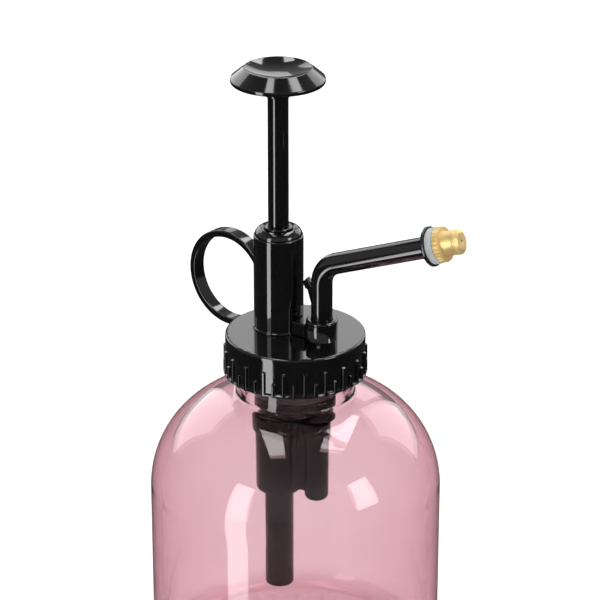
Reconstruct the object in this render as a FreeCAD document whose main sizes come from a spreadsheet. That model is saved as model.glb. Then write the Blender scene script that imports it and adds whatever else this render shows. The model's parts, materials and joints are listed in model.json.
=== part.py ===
"""Hand mister: a glass bottle with a screw cap that carries a press-down pump, a finger ring and a
spray arm. Millimetres, +Z up, +X along the spray arm, origin under the middle of the bottle."""

import FreeCAD, Part
import math
import os

import Sketcher

doc = FreeCAD.newDocument("hand_mister")

# Driving dimensions. Names in _low, _high, _top, _floor and _level are heights above the table.
SIZES = {
    # bottle
    "bottle_radius": 40.0,
    "glass_wall": 3.0,
    "foot_radius": 35.0,
    "base_floor": 4.4,
    "base_corner": 5.0,
    "shoulder_low": 55.3,
    "shoulder_radius": 28.7,
    "shoulder_edge": 16.96,
    "shoulder_high": 83.44,
    "shoulder_fillet": 1.2,
    "shoulder_inner": 25.7,
    "throat_edge": 15.2,
    "throat_low": 80.7,
    "throat_fillet": 2.3,
    "throat_high": 82.8,
    "neck_low": 84.61,
    "neck_radius": 16.0,
    "neck_bore": 13.6,
    "rim_top": 97.65,
    "thread_pitch": 3.2,
    "thread_rise": 4.0,
    "thread_start": 91.6,
    "thread_crest": 17.1,
    "thread_base_half": 0.65,
    "thread_crest_half": 0.35,
    # screw cap
    "cap_low": 90.0,
    "cap_top": 101.0,
    "cap_plate": 1.8,
    "cap_radius": 19.05,
    "cap_bore": 17.45,
    "cap_rim_round": 0.6,
    "cap_hem": 0.5,
    "rib_radius": 19.65,
    "rib_root": 18.8,
    "rib_half": 0.5,
    "rib_pairs": 21,
    "rib_turn": -2.6,
    "tall_rib_high": 97.0,
    "short_rib_high": 93.8,
    "cap_thread_start": 93.2,
    "cap_thread_crest": 16.35,
    "gasket_inner": 13.75,
    "gasket_outer": 16.9,
    "gasket_low": 97.7,
    "gasket_high": 99.15,
    # where the barrel, the arm socket and the outlet channel stand
    "barrel_back": 5.77,
    "barrel_side": 1.23,
    "socket_out": 8.05,
    "outlet_out": 6.48,
    "outlet_side": 0.14,
    "swing": 12.0,
    # barrel, finger ring and gland
    "pump_bore": 5.2,
    "barrel_radius": 6.76,
    "barrel_stem": 6.2,
    "barrel_low": 79.5,
    "barrel_high": 128.0,
    "barrel_flange": 7.05,
    "flange_high": 101.6,
    "gland_seat": 121.0,
    "gland_bore": 5.7,
    "ring_radius": 13.64,
    "ring_thickness": 1.9,
    "ring_half_width": 2.0,
    "ring_offset": 16.97,
    "ring_level": 111.1,
    "ring_root": 6.0,
    "ring_tip": 14.6,
    "ring_round": 0.4,
    "gland_fit": 5.67,
    "gland_low": 123.2,
    "gland_collar": 6.45,
    "gland_collar_high": 128.3,
    "gland_dome": 2.4,
    "gland_crown": 4.9,
    "gland_crown_high": 130.05,
    "gland_groove": 4.2,
    "gland_groove_low": 129.3,
    "gland_lip": 3.75,
    "gland_lip_round": 0.35,
    "gland_high": 130.4,
    "gland_hole": 2.88,
    "gland_recess": 4.62,
    "gland_recess_high": 125.2,
    "rod_seal_level": 124.15,
    "rod_seal_ring": 3.73,
    "rod_seal_section": 0.85,
    # plunger
    "rod_radius": 2.8,
    "rod_low": 117.5,
    "rod_high": 172.0,
    "knob_low": 167.2,
    "hub_radius": 3.55,
    "hub_chamfer": 0.6,
    "hub_high": 2.7,
    "rim_radius": 12.64,
    "rim_level": 4.4,
    "rim_half": 0.5,
    "rim_round": 0.55,
    "ridge_radius": 9.0,
    "ridge_level": 7.9,
    "ridge_round": 0.35,
    "dish_level": 6.0,
    "dish_curve": 19.0,
    "knob_socket": 4.8,
    "piston_radius": 5.1,
    "piston_low": 115.0,
    "piston_high": 121.0,
    "piston_spigot": 3.7,
    "spigot_low": 112.5,
    "groove_radius": 4.1,
    "groove_low": 117.4,
    "groove_high": 118.6,
    "piston_seal_ring": 4.63,
    "piston_seal_section": 0.5,
    "spring_ring": 4.45,
    "spring_wire": 0.4,
    "spring_low": 61.25,
    "spring_high": 114.95,
    "spring_turns": 12.0,
    # housing under the cap
    "housing_low": 76.3,
    "drum_radius": 7.2,
    "lobe_radius": 3.6,
    "web_half": 3.4,
    "housing_flange": 13.2,
    "housing_flange_low": 97.95,
    "socket_radius": 4.3,
    "socket_high": 106.5,
    "socket_bore": 2.95,
    "socket_floor": 92.0,
    "passage_radius": 1.2,
    "bridge_half": 3.0,
    "bridge_high": 105.0,
    "spigot_fit": 6.15,
    "spigot_high": 79.3,
    # lower chamber
    "collar_low": 70.3,
    "collar_high": 75.3,
    "collar_radius": 7.15,
    "collar_lobe": 3.7,
    "chamber_radius": 6.4,
    "chamber_low": 52.0,
    "chamber_round": 1.5,
    "chamber_floor": 60.0,
    "outlet_radius": 3.3,
    "outlet_round": 2.4,
    "outlet_bore": 1.95,
    "outlet_spigot": 2.68,
    "outlet_seat_low": 63.6,
    "outlet_seat_high": 64.3,
    "outlet_seat_hole": 1.0,
    "outlet_well_low": 60.4,
    "outlet_well": 1.6,
    "chamber_web_low": 54.6,
    "chamber_web_half": 2.6,
    "port_level": 61.9,
    "port_radius": 1.1,
    "port_reach": 8.0,
    "joint_seal_ring": 6.65,
    "joint_seal_section": 0.45,
    "joint_seal_level": 75.8,
    "outlet_ball_radius": 1.55,
    "outlet_ball_level": 65.52,
    "outlet_spring_ring": 1.35,
    "outlet_spring_wire": 0.2,
    "outlet_spring_low": 66.5,
    "outlet_spring_high": 79.25,
    "outlet_spring_turns": 8.0,
    # inlet valve and dip tube
    "tube_socket": 4.02,
    "dip_radius": 4.0,
    "dip_bore": 2.6,
    "dip_low": 22.8,
    "dip_high": 56.5,
    "dip_round": 0.6,
    "seat_fit": 3.98,
    "seat_hole": 1.4,
    "seat_cone": 2.6,
    "seat_cone_low": 58.8,
    "inlet_ball_radius": 2.3,
    "inlet_ball_level": 60.69,
    "cage_fit": 5.15,
    "cage_flange_high": 61.2,
    "cage_radius": 3.6,
    "cage_bore": 2.7,
    "cage_roof": 65.3,
    "cage_high": 66.3,
    "cage_vent": 1.0,
    "cage_window": 1.2,
    "cage_window_level": 63.4,
    # spray arm
    "arm_radius": 2.9,
    "arm_bore": 1.2,
    "arm_low": 93.4,
    "arm_corner": 121.85,
    "arm_bend": 6.8,
    "arm_rise": 20.2,
    "arm_reach": 34.7,
    "arm_flange": 5.35,
    "arm_flange_thickness": 0.8,
    "arm_thread_bore": 2.0,
    "arm_thread_depth": 7.0,
    "arm_seal_ring": 2.1,
    "arm_seal_section": 0.64,
    "arm_seal_level": 92.7,
    "hook_root": 2.3,
    "hook_crown": 4.25,
    "hook_tip": 5.65,
    "hook_heel": 4.75,
    "hook_low": 108.8,
    "hook_block_low": 114.5,
    "hook_high": 117.8,
    "hook_half": 0.9,
    # nozzle, along its own axis from the front face of the arm
    "washer_bore": 2.05,
    "washer_radius": 4.85,
    "washer_thickness": 2.1,
    "washer_round": 0.25,
    "shank_radius": 1.95,
    "shank_length": 6.0,
    "knurl_radius": 4.75,
    "knurl_front": 3.85,
    "knurl_chamfer": 0.3,
    "knurl_teeth": 24,
    "knurl_notch": 0.35,
    "nose_radius": 3.3,
    "nose_front": 7.3,
    "nozzle_bore": 1.2,
    "tip_seat": 2.2,
    "tip_seat_low": 4.6,
    "tip_fit": 2.18,
    "tip_radius": 3.45,
    "tip_shoulder": 8.1,
    "tip_front": 8.8,
    "tip_face": 2.3,
    "tip_throat": 0.9,
    "tip_throat_end": 7.9,
    "orifice": 0.35,
    "core_radius": 1.15,
    "core_low": -4.0,
    "core_high": 7.2,
}

sheet = doc.addObject("Spreadsheet::Sheet", "Sizes")
for row, (alias, size) in enumerate(SIZES.items(), start=1):
    sheet.set(f"A{row}", alias)
    sheet.set(f"B{row}", str(size))
    sheet.setAlias(f"B{row}", alias)
doc.recompute()

pieces = []


def value(formula):
    """The number that a formula of sheet names, numbers, + and - stands for."""
    total = 0.0
    sign = 1.0
    for word in formula.split():
        if word in ("+", "-"):
            sign = 1.0 if word == "+" else -1.0
        else:
            total += sign * (SIZES[word] if word[0].isalpha() else float(word))
    return total


def linked(formula):
    """The same formula as an expression that reads the sheet."""
    return " ".join("Sizes." + w if w[0].isalpha() else w for w in formula.split())


def span(low, high):
    """An expression for the length from low to high."""
    return f"{linked(high)} - ({linked(low)})"


def bind(thing, **formulas):
    for name, formula in formulas.items():
        thing.setExpression(name, linked(formula))


def put(thing, x="0", y="0", z="0"):
    """Places a sub-part by formulas of the sheet."""
    for axis, formula in (("x", x), ("y", y), ("z", z)):
        thing.setExpression(f"Placement.Base.{axis}", linked(formula))
    return thing


def named(thing, label):
    thing.Label = label
    pieces.append(thing)
    return thing


# Sketches and PartDesign features


def plane_of(body, role):
    return next(f for f in body.Origin.OriginFeatures if f.Role == role)


def sketch_on(body, name, plane, offset=None, turn=0.0):
    sketch = body.newObject("Sketcher::SketchObject", name)
    sketch.AttachmentSupport = [(plane_of(body, plane), "")]
    sketch.MapMode = "FlatFace"
    if turn:
        spin = FreeCAD.Rotation(FreeCAD.Vector(0, 0, 1), turn)
        sketch.AttachmentOffset = FreeCAD.Placement(FreeCAD.Vector(), spin)
    if offset:
        sketch.setExpression("AttachmentOffset.Base.z", linked(offset))
    return sketch


def pin_point(sketch, geometry, end, x, y):
    """Binds one point of a sketch to its two formulas."""
    for kind, formula, axis in (("DistanceX", x, -2), ("DistanceY", y, -1)):
        if value(formula) == 0.0:
            sketch.addConstraint(Sketcher.Constraint("PointOnObject", geometry, end, axis))
            continue
        constraint = Sketcher.Constraint(kind, -1, 1, geometry, end, value(formula))
        index = sketch.addConstraint(constraint)
        sketch.setExpression(f"Constraints[{index}]", linked(formula))


def arc_between(start, stop, radius, turn):
    """The minor arc from start to stop, turning left (1) or right (-1)."""
    chord = stop - start
    rise = math.sqrt(max(radius**2 - (chord.Length / 2) ** 2, 0.0))
    side = FreeCAD.Vector(-chord.y, chord.x, 0).normalize()
    centre = start + chord / 2 + side * rise * turn
    first, last = (start, stop) if turn > 0 else (stop, start)
    begin = math.atan2(first.y - centre.y, first.x - centre.x)
    end = math.atan2(last.y - centre.y, last.x - centre.x)
    circle = Part.Circle(centre, FreeCAD.Vector(0, 0, 1), radius)
    return Part.ArcOfCircle(circle, begin, end if end > begin else end + 2 * math.pi)


def outline(sketch, points):
    """Closes an outline through points. A point is (x, y), or (x, y, radius, turn) where the edge
    that leaves it is an arc turning left (1) or right (-1)."""
    spots = [FreeCAD.Vector(value(p[0]), value(p[1]), 0) for p in points]
    ends = []
    for i, point in enumerate(points):
        start = spots[i]
        stop = spots[(i + 1) % len(points)]
        if len(point) == 2:
            sketch.addGeometry(Part.LineSegment(start, stop))
            ends.append((1, 2))
        else:
            sketch.addGeometry(arc_between(start, stop, value(point[2]), point[3]))
            ends.append((1, 2) if point[3] > 0 else (2, 1))
    for i, point in enumerate(points):
        after = (i + 1) % len(points)
        join = Sketcher.Constraint("Coincident", i, ends[i][1], after, ends[after][0])
        sketch.addConstraint(join)
    for i, point in enumerate(points):
        pin_point(sketch, i, ends[i][0], point[0], point[1])
        if len(point) == 4:
            index = sketch.addConstraint(Sketcher.Constraint("Radius", i, value(point[2])))
            sketch.setExpression(f"Constraints[{index}]", linked(point[2]))
    return sketch


def revolve(body, name, points, kind="PartDesign::Revolution"):
    sketch = outline(sketch_on(body, name + "_outline", "XZ_Plane"), points)
    feature = body.newObject(kind, name)
    feature.Profile = sketch
    feature.ReferenceAxis = (sketch, ["V_Axis"])
    feature.Angle = 360.0
    return feature


def turned(label, points):
    """A sub-part turned about its own Z axis."""
    body = doc.addObject("PartDesign::Body", label + "_body")
    revolve(body, label + "_turned", points)
    return named(body, label)


def circle_sketch(body, name, plane, x, y, radius, offset):
    sketch = sketch_on(body, name, plane, offset)
    centre = FreeCAD.Vector(value(x), value(y), 0)
    sketch.addGeometry(Part.Circle(centre, FreeCAD.Vector(0, 0, 1), value(radius)))
    pin_point(sketch, 0, 3, x, y)
    index = sketch.addConstraint(Sketcher.Constraint("Radius", 0, value(radius)))
    sketch.setExpression(f"Constraints[{index}]", linked(radius))
    return sketch


def boss(body, name, x, y, radius, low, high):
    """A round pad from low to high."""
    sketch = circle_sketch(body, name + "_circle", "XY_Plane", x, y, radius, low)
    pad = body.newObject("PartDesign::Pad", name)
    pad.Profile = sketch
    pad.setExpression("Length", span(low, high))
    return pad


def bore(body, name, x, y, radius, low, high):
    """A round pocket from high down to low."""
    sketch = circle_sketch(body, name + "_circle", "XY_Plane", x, y, radius, high)
    pocket = body.newObject("PartDesign::Pocket", name)
    pocket.Profile = sketch
    pocket.setExpression("Length", span(low, high))
    return pocket


def slab(body, name, points, low, high, turn=0.0):
    """A pad of a straight-sided outline from low to high."""
    sketch = sketch_on(body, name + "_outline", "XY_Plane", low, turn)
    pad = body.newObject("PartDesign::Pad", name)
    pad.Profile = outline(sketch, points)
    pad.setExpression("Length", span(low, high))
    return pad


def helix(body, name, points, pitch, height):
    """A ridge or wire: an outline carried up a right-hand helix about the body's Z axis."""
    if len(points) == 1:
        x, y, radius = points[0]
        sketch = circle_sketch(body, name + "_section", "XZ_Plane", x, y, radius, None)
    else:
        sketch = outline(sketch_on(body, name + "_section", "XZ_Plane"), points)
    feature = body.newObject("PartDesign::AdditiveHelix", name)
    feature.Profile = sketch
    feature.ReferenceAxis = (sketch, ["V_Axis"])
    feature.Mode = "pitch-height-angle"
    feature.setExpression("Pitch", pitch)
    feature.setExpression("Height", height)
    return feature


def round_circles(body, name, feature, radius, spots):
    """Fillets the full circles of a feature that have the given (radius, height)."""
    doc.recompute()
    edges = []
    for index, edge in enumerate(feature.Shape.Edges, start=1):
        if not isinstance(edge.Curve, Part.Circle):
            continue
        for size, level in spots:
            same_size = abs(edge.Curve.Radius - value(size)) < 1e-4
            if same_size and abs(edge.Curve.Center.z - value(level)) < 1e-4:
                edges.append(f"Edge{index}")
    fillet = body.newObject("PartDesign::Fillet", name)
    fillet.Base = (feature, edges)
    bind(fillet, Radius=radius)
    return fillet


def ring_seal(label, ring, section):
    """An O-ring about its own Z axis."""
    body = doc.addObject("PartDesign::Body", label + "_body")
    sketch = circle_sketch(body, label + "_section", "XZ_Plane", ring, "0", section, None)
    feature = body.newObject("PartDesign::Revolution", label + "_turned")
    feature.Profile = sketch
    feature.ReferenceAxis = (sketch, ["V_Axis"])
    feature.Angle = 360.0
    return named(body, label)


BARREL = ("- barrel_back", "barrel_side")
SOCKET = ("socket_out", "0")
OUTLET = ("outlet_out", "outlet_side")
AXIS = ("0", "0")


# Bottle


def make_bottle():
    body = doc.addObject("PartDesign::Body", "bottle_body")
    revolve(body, "bottle_wall", [
        ("0", "0"),
        ("foot_radius", "0", "base_corner", 1),
        ("bottle_radius", "base_corner"),
        ("bottle_radius", "shoulder_low", "shoulder_radius", 1),
        ("shoulder_edge", "shoulder_high", "shoulder_fillet", -1),
        ("neck_radius", "neck_low"),
        ("neck_radius", "rim_top - 0.5"),
        ("neck_radius - 0.5", "rim_top"),
        ("neck_bore + 0.5", "rim_top"),
        ("neck_bore", "rim_top - 0.5"),
        ("neck_bore", "throat_high", "throat_fillet", 1),
        ("throat_edge", "throat_low", "shoulder_inner", -1),
        ("bottle_radius - glass_wall", "shoulder_low"),
        ("bottle_radius - glass_wall", "base_floor + base_corner", "base_corner", -1),
        ("bottle_radius - glass_wall - base_corner", "base_floor"),
        ("0", "base_floor"),
    ])
    thread = [
        ("neck_radius - 0.3", "thread_start - thread_base_half"),
        ("thread_crest", "thread_start - thread_crest_half"),
        ("thread_crest", "thread_start + thread_crest_half"),
        ("neck_radius - 0.3", "thread_start + thread_base_half"),
    ]
    helix(body, "neck_thread", thread, "Sizes.thread_pitch", "Sizes.thread_rise")
    return named(body, "bottle")


# Screw cap


def make_cap():
    body = doc.addObject("PartDesign::Body", "cap_body")
    shell = revolve(body, "cap_shell", [
        ("cap_bore", "cap_low"),
        ("rib_radius - 0.3", "cap_low"),
        ("rib_radius", "cap_low + 0.3"),
        ("rib_radius", "cap_low + cap_hem"),
        ("cap_radius", "cap_low + cap_hem + 0.4"),
        ("cap_radius", "cap_top"),
        ("0", "cap_top"),
        ("0", "cap_top - cap_plate"),
        ("cap_bore", "cap_top - cap_plate"),
    ])
    round_circles(body, "cap_rim", shell, "cap_rim_round", [("cap_radius", "cap_top")])
    bore(body, "barrel_hole", *BARREL, "barrel_stem + 0.02", "cap_top - cap_plate", "cap_top")
    bore(body, "socket_hole", *SOCKET, "socket_radius + 0.02", "cap_top - cap_plate", "cap_top")
    rib = [
        ("rib_root", "- rib_half"),
        ("rib_radius - 0.2", "- rib_half"),
        ("rib_radius", "- rib_half + 0.25"),
        ("rib_radius", "rib_half - 0.25"),
        ("rib_radius - 0.2", "rib_half"),
        ("rib_root", "rib_half"),
    ]
    for name, steps in (("tall", 0), ("short", 1)):
        turn = SIZES["rib_turn"] + steps * 180.0 / SIZES["rib_pairs"]
        pad = slab(body, name + "_rib", rib, "cap_low + 0.3", name + "_rib_high", turn)
        pattern = body.newObject("PartDesign::PolarPattern", name + "_ribs")
        pattern.Originals = [pad]
        pattern.Axis = (plane_of(body, "Z_Axis"), [""])
        pattern.Angle = 360.0
        bind(pattern, Occurrences="rib_pairs")
        body.Tip = pattern
    thread = [
        ("cap_bore + 0.3", "cap_thread_start - thread_base_half"),
        ("cap_bore + 0.3", "cap_thread_start + thread_base_half"),
        ("cap_thread_crest", "cap_thread_start + thread_crest_half"),
        ("cap_thread_crest", "cap_thread_start - thread_crest_half"),
    ]
    helix(body, "cap_thread", thread, "Sizes.thread_pitch", "Sizes.thread_rise")
    return named(body, "screw_cap")


def make_gasket():
    return turned("neck_gasket", [
        ("gasket_inner", "gasket_low"),
        ("gasket_outer", "gasket_low"),
        ("gasket_outer", "gasket_high"),
        ("gasket_inner", "gasket_high"),
    ])


# Pump barrel with its finger ring, gland and rod seal


def ring_outline(body):
    """A C-shaped band about the ring's centre, from the barrel wall round to its free end."""
    sketch = sketch_on(body, "ring_outline", "XZ_Plane")
    offset = SIZES["ring_offset"]
    level = SIZES["ring_level"]
    centre = FreeCAD.Vector(-offset, level, 0)
    root_reach = offset - SIZES["ring_root"]
    tip_reach = offset - SIZES["ring_tip"]
    for inset in (0.0, SIZES["ring_thickness"]):
        radius = SIZES["ring_radius"] - inset
        begin = math.acos(root_reach / radius)
        end = 2 * math.pi - math.acos(tip_reach / radius)
        circle = Part.Circle(centre, FreeCAD.Vector(0, 0, 1), radius)
        sketch.addGeometry(Part.ArcOfCircle(circle, begin, end))
    outer, inner = sketch.Geometry
    sketch.addGeometry(Part.LineSegment(inner.StartPoint, outer.StartPoint))
    sketch.addGeometry(Part.LineSegment(outer.EndPoint, inner.EndPoint))
    joins = ((2, 1, 1, 1), (2, 2, 0, 1), (3, 1, 0, 2), (3, 2, 1, 2))
    for join in joins:
        sketch.addConstraint(Sketcher.Constraint("Coincident", *join))
    sketch.addConstraint(Sketcher.Constraint("Coincident", 0, 3, 1, 3))
    pin_point(sketch, 0, 3, "- ring_offset", "ring_level")
    for geometry, radius in ((0, "ring_radius"), (1, "ring_radius - ring_thickness")):
        index = sketch.addConstraint(Sketcher.Constraint("Radius", geometry, value(radius)))
        sketch.setExpression(f"Constraints[{index}]", linked(radius))
    for line, x in ((2, "- ring_root"), (3, "- ring_tip")):
        sketch.addConstraint(Sketcher.Constraint("Vertical", line))
        constraint = Sketcher.Constraint("DistanceX", -1, 1, line, 1, value(x))
        index = sketch.addConstraint(constraint)
        sketch.setExpression(f"Constraints[{index}]", linked(x))
    return sketch


def make_barrel():
    body = doc.addObject("PartDesign::Body", "barrel_body")
    revolve(body, "barrel_tube", [
        ("pump_bore", "barrel_low"),
        ("barrel_stem", "barrel_low"),
        ("barrel_stem", "cap_top"),
        ("barrel_flange", "cap_top"),
        ("barrel_flange", "flange_high - 0.3"),
        ("barrel_radius", "flange_high"),
        ("barrel_radius", "barrel_high - 0.3"),
        ("barrel_radius - 0.3", "barrel_high"),
        ("gland_bore", "barrel_high"),
        ("gland_bore", "gland_seat + 0.5"),
        ("pump_bore", "gland_seat"),
    ])
    pad = body.newObject("PartDesign::Pad", "finger_ring")
    pad.Profile = ring_outline(body)
    pad.SideType = "Symmetric"
    pad.setExpression("Length", "2 * Sizes.ring_half_width")
    doc.recompute()
    edges = []
    rims = (SIZES["ring_radius"], SIZES["ring_radius"] - SIZES["ring_thickness"])
    for index, edge in enumerate(pad.Shape.Edges, start=1):
        if isinstance(edge.Curve, Part.Circle) and abs(edge.Curve.Axis.z) < 0.5:
            if min(abs(edge.Curve.Radius - rim) for rim in rims) < 1e-4:
                edges.append(f"Edge{index}")
    fillet = body.newObject("PartDesign::Fillet", "ring_edges")
    fillet.Base = (pad, edges)
    bind(fillet, Radius="ring_round")
    body.Placement = FreeCAD.Placement(
        FreeCAD.Vector(), FreeCAD.Rotation(FreeCAD.Vector(0, 0, 1), -SIZES["swing"])
    )
    put(body, *BARREL)
    return named(body, "pump_barrel")


def make_gland():
    nut = turned("gland_nut", [
        ("gland_hole", "gland_recess_high"),
        ("gland_recess", "gland_recess_high"),
        ("gland_recess", "gland_low"),
        ("gland_fit", "gland_low"),
        ("gland_fit", "barrel_high"),
        ("gland_collar", "barrel_high"),
        ("gland_collar", "gland_collar_high", "gland_dome", 1),
        ("gland_crown", "gland_crown_high"),
        ("gland_groove + 0.2", "gland_groove_low"),
        ("gland_groove - 0.2", "gland_groove_low"),
        ("gland_lip", "gland_groove_low + 0.4"),
        ("gland_lip", "gland_high - gland_lip_round", "gland_lip_round", 1),
        ("gland_lip - gland_lip_round", "gland_high"),
        ("gland_hole", "gland_high"),
    ])
    put(nut, *BARREL)
    seal = ring_seal("rod_seal", "rod_seal_ring", "rod_seal_section")
    put(seal, *BARREL, "rod_seal_level")


# Plunger: knob, rod, piston and piston seal


def make_plunger():
    rim_low = "rim_level - rim_half"
    rim_high = "rim_level + rim_half"
    knob = turned("plunger_knob", [
        ("rod_radius + 0.02", "0"),
        ("hub_radius - hub_chamfer", "0"),
        ("hub_radius", "hub_chamfer"),
        ("hub_radius", "hub_high"),
        ("rim_radius - 0.32", rim_low, "rim_round", 1),
        ("rim_radius - 0.32", rim_high),
        ("ridge_radius + 0.3", "ridge_level - 0.15", "ridge_round", 1),
        ("ridge_radius - 0.3", "ridge_level - 0.15", "dish_curve", -1),
        ("0", "dish_level"),
        ("0", "knob_socket"),
        ("rod_radius + 0.02", "knob_socket"),
    ])
    put(knob, *BARREL, "knob_low")
    rod = turned("plunger_rod", [
        ("0", "rod_low"),
        ("rod_radius - 0.4", "rod_low"),
        ("rod_radius", "rod_low + 0.4"),
        ("rod_radius", "rod_high - 0.4"),
        ("rod_radius - 0.4", "rod_high"),
        ("0", "rod_high"),
    ])
    put(rod, *BARREL)
    piston = turned("piston", [
        ("0", "spigot_low"),
        ("piston_spigot", "spigot_low"),
        ("piston_spigot", "piston_low"),
        ("piston_radius", "piston_low"),
        ("piston_radius", "groove_low"),
        ("groove_radius", "groove_low"),
        ("groove_radius", "groove_high"),
        ("piston_radius", "groove_high"),
        ("piston_radius", "piston_high - 0.4"),
        ("piston_radius - 0.4", "piston_high"),
        ("rod_radius + 0.02", "piston_high"),
        ("rod_radius + 0.02", "rod_low - 0.02"),
        ("0", "rod_low - 0.02"),
    ])
    put(piston, *BARREL)
    seal = ring_seal("piston_seal", "piston_seal_ring", "piston_seal_section")
    put(seal, *BARREL, "groove_low + 0.6")


def make_spring(label, ring, wire, low, high, turns, place):
    """A round-wire spring that fills low to high."""
    body = doc.addObject("PartDesign::Body", label + "_body")
    height = f"(Sizes.{high} - Sizes.{low} - 2 * Sizes.{wire})"
    helix(body, label + "_coil", [(ring, wire, wire)], f"{height} / Sizes.{turns}", height)
    put(body, *place, low)
    return named(body, label)


# Housing that hangs in the neck, and the chamber below it


def make_housing():
    body = doc.addObject("PartDesign::Body", "housing_body")
    ceiling = "cap_top - cap_plate"
    boss(body, "drum", *BARREL, "drum_radius", "housing_low", ceiling)
    slab(body, "drum_web", [
        ("- barrel_back", "barrel_side - web_half"),
        ("socket_out", "- web_half"),
        ("socket_out", "web_half"),
        ("- barrel_back", "barrel_side + web_half"),
    ], "housing_low", ceiling)
    boss(body, "drum_lobe", *SOCKET, "lobe_radius", "housing_low", ceiling)
    boss(body, "clamp_flange", *AXIS, "housing_flange", "housing_flange_low", ceiling)
    socket = boss(body, "arm_socket", *SOCKET, "socket_radius", ceiling, "socket_high")
    rim = [("socket_radius", "socket_high")]
    round_circles(body, "socket_rim", socket, "cap_rim_round", rim)
    slab(body, "bridge", [
        ("- barrel_back", "barrel_side - bridge_half"),
        ("socket_out", "- bridge_half"),
        ("socket_out", "bridge_half"),
        ("- barrel_back", "barrel_side + bridge_half"),
    ], "cap_top + 0.02", "bridge_high")
    bore(body, "barrel_room", *BARREL, "barrel_flange + 0.05", "cap_top", "bridge_high")
    bore(body, "barrel_seat", *BARREL, "barrel_stem + 0.02", "housing_low", ceiling)
    bore(body, "socket_bore", *SOCKET, "socket_bore", "socket_floor", "socket_high")
    bore(body, "passage", *OUTLET, "passage_radius", "spigot_high", "socket_floor")
    bore(body, "outlet_seat", *OUTLET, "outlet_spigot + 0.02", "housing_low", "spigot_high")
    return named(body, "pump_housing")


def make_chamber():
    body = doc.addObject("PartDesign::Body", "chamber_body")
    tube = boss(body, "chamber", *BARREL, "chamber_radius", "chamber_low", "collar_high")
    spot = [("chamber_radius", "chamber_low")]
    round_circles(body, "chamber_end", tube, "chamber_round", spot)
    slab(body, "chamber_web", [
        ("- barrel_back", "barrel_side - chamber_web_half"),
        ("outlet_out", "outlet_side - chamber_web_half"),
        ("outlet_out", "outlet_side + chamber_web_half"),
        ("- barrel_back", "barrel_side + chamber_web_half"),
    ], "chamber_web_low", "collar_high")
    channel = boss(body, "channel", *OUTLET, "outlet_radius", "chamber_low", "collar_high")
    spot = [("outlet_radius", "chamber_low")]
    round_circles(body, "channel_end", channel, "outlet_round", spot)
    boss(body, "collar", *BARREL, "collar_radius", "collar_low", "collar_high")
    boss(body, "collar_lobe", *OUTLET, "collar_lobe", "collar_low", "collar_high")
    boss(body, "spigot", *BARREL, "spigot_fit", "collar_high", "spigot_high")
    boss(body, "channel_spigot", *OUTLET, "outlet_spigot", "collar_high", "spigot_high")
    bore(body, "chamber_bore", *BARREL, "pump_bore", "chamber_floor", "spigot_high")
    bore(body, "tube_socket", *BARREL, "tube_socket", "chamber_low", "chamber_floor")
    bore(body, "channel_bore", *OUTLET, "outlet_bore", "outlet_seat_high", "spigot_high")
    bore(body, "valve_hole", *OUTLET, "outlet_seat_hole", "outlet_seat_low", "outlet_seat_high")
    bore(body, "valve_well", *OUTLET, "outlet_well", "outlet_well_low", "outlet_seat_low")
    section = circle_sketch(
        body, "port_circle", "YZ_Plane", "outlet_side + 0.5", "port_level", "port_radius",
        "outlet_out",
    )
    port = body.newObject("PartDesign::Pocket", "port")
    port.Profile = section
    bind(port, Length="port_reach")
    return named(body, "pump_chamber")


def make_ball(label, radius, level, place):
    ball = doc.addObject("Part::Sphere", label + "_sphere")
    bind(ball, Radius=radius)
    put(ball, *place, level)
    return named(ball, label)


def make_inlet():
    seat = turned("inlet_seat", [
        ("seat_hole", "dip_high"),
        ("seat_fit", "dip_high"),
        ("seat_fit", "chamber_floor"),
        ("seat_cone", "chamber_floor"),
        ("seat_hole", "seat_cone_low"),
    ])
    put(seat, *BARREL)
    tube = turned("dip_tube", [
        ("dip_bore", "dip_low"),
        ("dip_radius - dip_round", "dip_low"),
        ("dip_radius", "dip_low + dip_round"),
        ("dip_radius", "dip_high"),
        ("dip_bore", "dip_high"),
    ])
    put(tube, *BARREL)
    body = doc.addObject("PartDesign::Body", "cage_body")
    revolve(body, "cage_hat", [
        ("cage_bore", "chamber_floor"),
        ("cage_fit", "chamber_floor"),
        ("cage_fit", "cage_flange_high"),
        ("cage_radius", "cage_flange_high"),
        ("cage_radius", "cage_high - 0.4"),
        ("cage_radius - 0.4", "cage_high"),
        ("cage_vent", "cage_high"),
        ("cage_vent", "cage_roof"),
        ("cage_bore", "cage_roof"),
    ])
    for plane in ("XZ_Plane", "YZ_Plane"):
        name = "window_" + plane[:2].lower()
        section = circle_sketch(
            body, name + "_circle", plane, "0", "cage_window_level", "cage_window", None
        )
        window = body.newObject("PartDesign::Pocket", name)
        window.Profile = section
        window.SideType = "Symmetric"
        window.setExpression("Length", "4 * Sizes.cage_radius")
    put(body, *BARREL)
    named(body, "ball_cage")


# Spray arm: a riser, an elbow and a sloping run, with a flange at its end and a hook at its back


def cylinder(name, radius, height, spot, rotation):
    tube = doc.addObject("Part::Cylinder", name)
    tube.Placement = FreeCAD.Placement(FreeCAD.Vector(), rotation)
    bind(tube, Radius=radius)
    tube.setExpression("Height", height)
    for axis, expression in zip("xyz", spot):
        tube.setExpression(f"Placement.Base.{axis}", expression)
    return tube


def fused(name, shapes):
    union = doc.addObject("Part::MultiFuse", name)
    union.Shapes = shapes
    return union


UPRIGHT = FreeCAD.Rotation()
ALONG_ARM = FreeCAD.Rotation(FreeCAD.Vector(0, 1, 0), 90.0 - SIZES["arm_rise"])
TANGENT = "Sizes.arm_bend * tan((90 - Sizes.arm_rise) / 2 * 1 deg)"


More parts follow.
